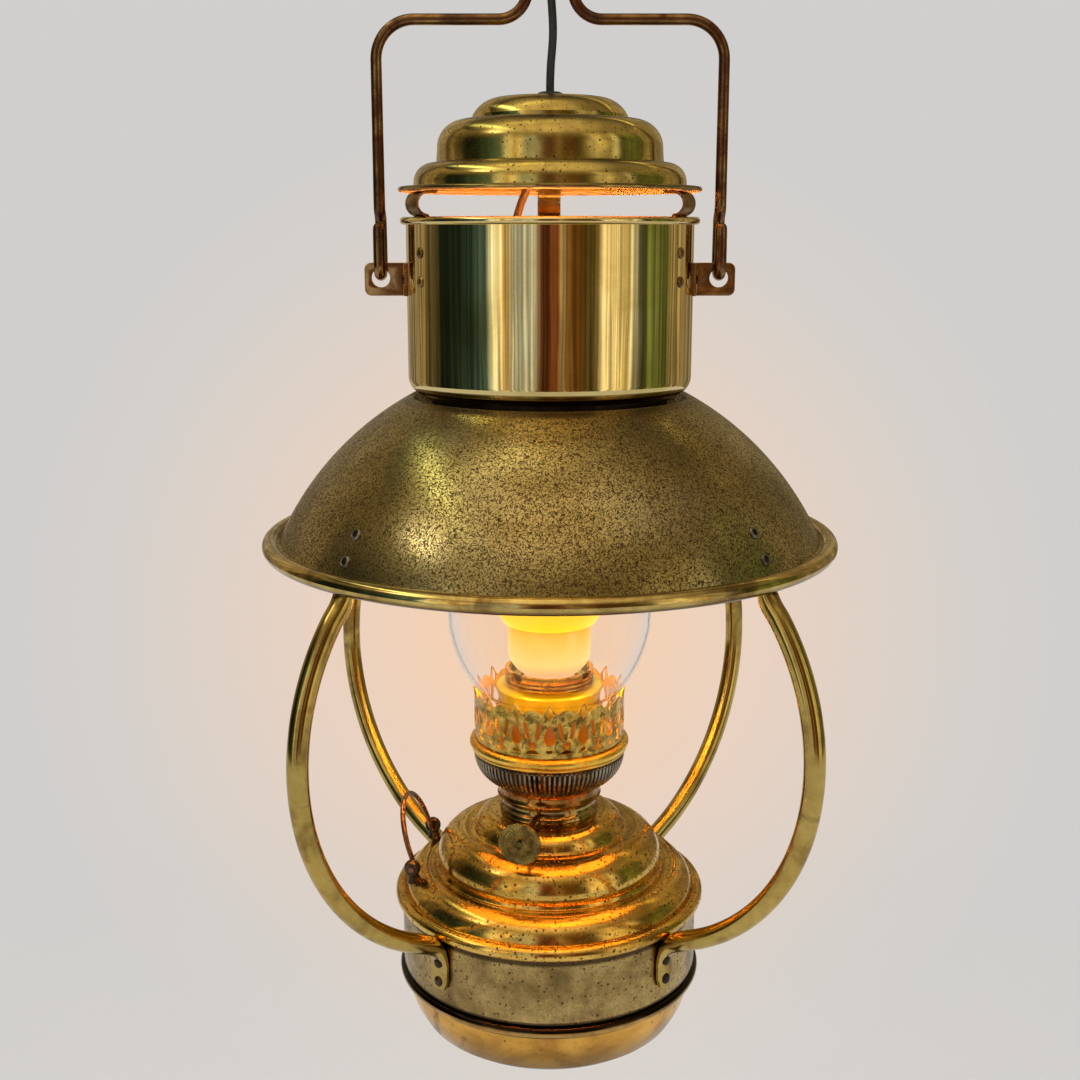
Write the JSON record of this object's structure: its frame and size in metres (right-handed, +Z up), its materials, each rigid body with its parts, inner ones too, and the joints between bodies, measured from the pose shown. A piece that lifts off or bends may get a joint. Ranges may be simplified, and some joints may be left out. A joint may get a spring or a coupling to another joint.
{
  "type": "hanging ship lamp",
  "caption": "Hanging brass ship lamp: wire bail, vented cap and hood, wide shade on bent arms, lift-out oil tank with burner, glass chimney and an electric bulb.",
  "frame": {"origin": "the hanging point, where a hook bears on the inner top of the bail's eye", "axes": "+Z up along the lamp's axis, +X to the lamp's right as seen from the front, -Y to the front"},
  "size_m": [0.2712, 0.2712, 0.5924],
  "materials": {
    "bail_brass": "aged rod and plate, brown-gold",
    "satin_brass": "satin spun sheet with small stains",
    "bright_brass": "mirror polished spun sheet",
    "aged_brass": "aged olive-brown spun sheet with dark flecks",
    "arm_brass": "polished tube",
    "pale_brass": "tarnished grey-gold strip",
    "tank_brass": "polished pressed sheet with small spots",
    "dark_brass": "dark patina",
    "copper_brass": "copper-brown wire",
    "strap_brass": "aged strip",
    "burner_brass": "warm orange-copper, turned",
    "basket_brass": "tarnished pierced sheet",
    "gallery_brass": "shiny pierced sheet",
    "knob_brass": "worn stamped disc",
    "cap_metal": "bulb cap",
    "flex_rubber": "matte black",
    "black_plastic": "matte black",
    "clear_glass": "clear blown glass",
    "bulb_white": "white bulb body",
    "bulb_glow": "lit diffuser dome"
  },
  "bodies": {
    "bail": {"bail": "bail_brass", "supply_cord": "flex_rubber", "cord_connector": "black_plastic"},
    "lamp": {"cap": "satin_brass", "cord_grommet": "flex_rubber", "cap_straps": "strap_brass", "strap_rivets": "strap_brass", "hood": "bright_brass", "ear_left": "bail_brass", "ear_right": "bail_brass", "ear_rivets": "bail_brass", "neck_ring": "dark_brass", "inner_lead": "flex_rubber", "shade": "aged_brass", "arm_front_left": "arm_brass", "arm_front_right": "arm_brass", "arm_back_left": "arm_brass", "arm_back_right": "arm_brass", "shade_rivets": "dark_brass", "holder_band": "pale_brass", "band_rivets": "dark_brass", "drip_dish": "satin_brass"},
    "tank": {"tank_cup": "pale_brass", "tank_top": "tank_brass", "tank_collar": "dark_brass", "ring_lugs": "dark_brass", "burner_neck": "burner_brass", "air_basket": "basket_brass", "wick_tube": "burner_brass", "gallery_ring": "gallery_brass", "gallery_crown": "gallery_brass", "gallery_deck": "gallery_brass", "lamp_holder": "burner_brass"},
    "carrying_ring": {"tank_ring": "copper_brass"},
    "wick_wheel": {"wick_shaft": "burner_brass", "wick_knob": "knob_brass"},
    "glass": {"glass_chimney": "clear_glass"},
    "bulb": {"bulb_cap": "cap_metal", "bulb_body": "bulb_white", "bulb_dome": "bulb_glow"}
  },
  "joints": [
    {"name": "lamp_swing", "type": "hinge", "parent": "bail", "child": "lamp", "pos_m": [0, 0, -0.14534], "axis": [1, 0, 0], "range_deg": [-110, 110], "deforming": ["supply_cord"]},
    {"name": "tank_lift", "type": "slide", "parent": "lamp", "child": "tank", "axis": [0, 0, 1], "range_m": [0, 0.03], "deforming": ["inner_lead"]},
    {"name": "ring_swing", "type": "hinge", "parent": "tank", "child": "carrying_ring", "pos_m": [-0.06412, 0.00787, -0.43649], "axis": [-0.1219, -0.9925, 0], "range_deg": [-50, 95]},
    {"name": "wick_turn", "type": "hinge", "parent": "tank", "child": "wick_wheel", "pos_m": [0, 0, -0.40759], "axis": [-0.247, -0.969, 0], "continuous": true},
    {"name": "glass_lift", "type": "slide", "parent": "tank", "child": "glass", "axis": [0, 0, 1], "range_m": [0, 0.018]},
    {"name": "bulb_turn", "type": "hinge", "parent": "tank", "child": "bulb", "pos_m": [0, 0, -0.34439], "axis": [0, 0, 1], "continuous": true}
  ]
}
